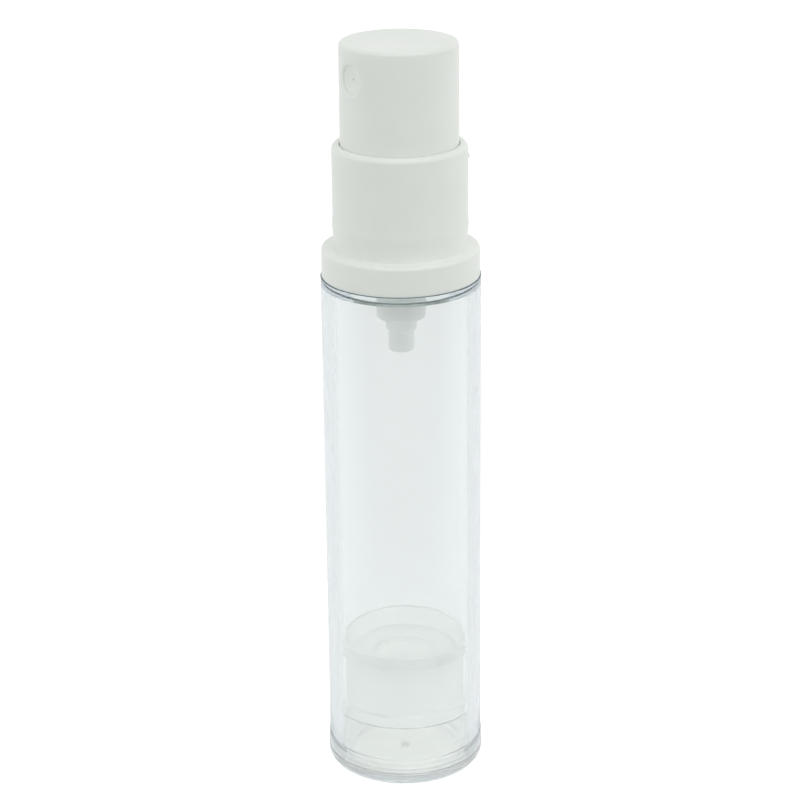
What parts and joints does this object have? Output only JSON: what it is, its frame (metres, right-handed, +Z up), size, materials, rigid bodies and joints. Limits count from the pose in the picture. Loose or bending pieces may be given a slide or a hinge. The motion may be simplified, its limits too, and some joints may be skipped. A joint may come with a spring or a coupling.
{
  "type": "airless pump bottle",
  "caption": "Slim clear airless bottle with a follower piston in its tube, a vented base, a white collar snapped over its neck and a sprung spray button over the pump.",
  "frame": {"origin": "centre of the base's underside, on the bottle's axis", "axes": "+Z up along the bottle's axis; the spray opening faces -Y at rest"},
  "size_m": [0.0224, 0.0224, 0.1056],
  "materials": {
    "clear_body": "clear moulded styrene acrylonitrile, polished",
    "clear_base": "clear moulded plastic with a faint haze",
    "natural_polyethylene": "translucent natural polyethylene",
    "white_plastic": "white moulded polypropylene, semi-gloss",
    "white_insert": "white moulded insert, semi-gloss",
    "inner_white": "white moulded polypropylene, satin",
    "seal_plastic": "natural polyethylene, satin",
    "soft_gasket": "soft white gasket",
    "spring_steel": "drawn stainless spring wire",
    "ball_glass": "polished glass ball"
  },
  "bodies": {
    "bottle": {"bottle_body": "clear_body", "base_plug": "clear_base", "collar": "white_plastic", "neck_gasket": "soft_gasket", "pump_housing": "inner_white", "retainer": "inner_white", "return_spring": "spring_steel"},
    "pump_stem": {"stem": "inner_white", "poppet": "seal_plastic"},
    "button": {"actuator_button": "white_plastic", "nozzle_insert": "white_insert"},
    "sliding_seal": {"pump_piston": "seal_plastic"},
    "valve_ball": {"inlet_ball": "ball_glass"},
    "follower": {"follower_piston": "natural_polyethylene"}
  },
  "joints": [
    {"name": "actuator_press", "type": "slide", "parent": "bottle", "child": "pump_stem", "axis": [0, 0, -1], "range_m": [0, 0.0055], "stiffness_N_per_m": 1500, "springref_m": -0.003, "deforming": ["return_spring"]},
    {"name": "button_turn", "type": "hinge", "parent": "pump_stem", "child": "button", "pos_m": [0, 0, 0.0952], "axis": [0, 0, 1], "continuous": true},
    {"name": "seal_slide", "type": "slide", "parent": "pump_stem", "child": "sliding_seal", "axis": [0, 0, 1], "range_m": [0, 0.0006]},
    {"name": "ball_lift", "type": "slide", "parent": "bottle", "child": "valve_ball", "axis": [0, 0, 1], "range_m": [0, 0.0008]},
    {"name": "follower_rise", "type": "slide", "parent": "bottle", "child": "follower", "axis": [0, 0, 1], "range_m": [0, 0.0463]}
  ]
}
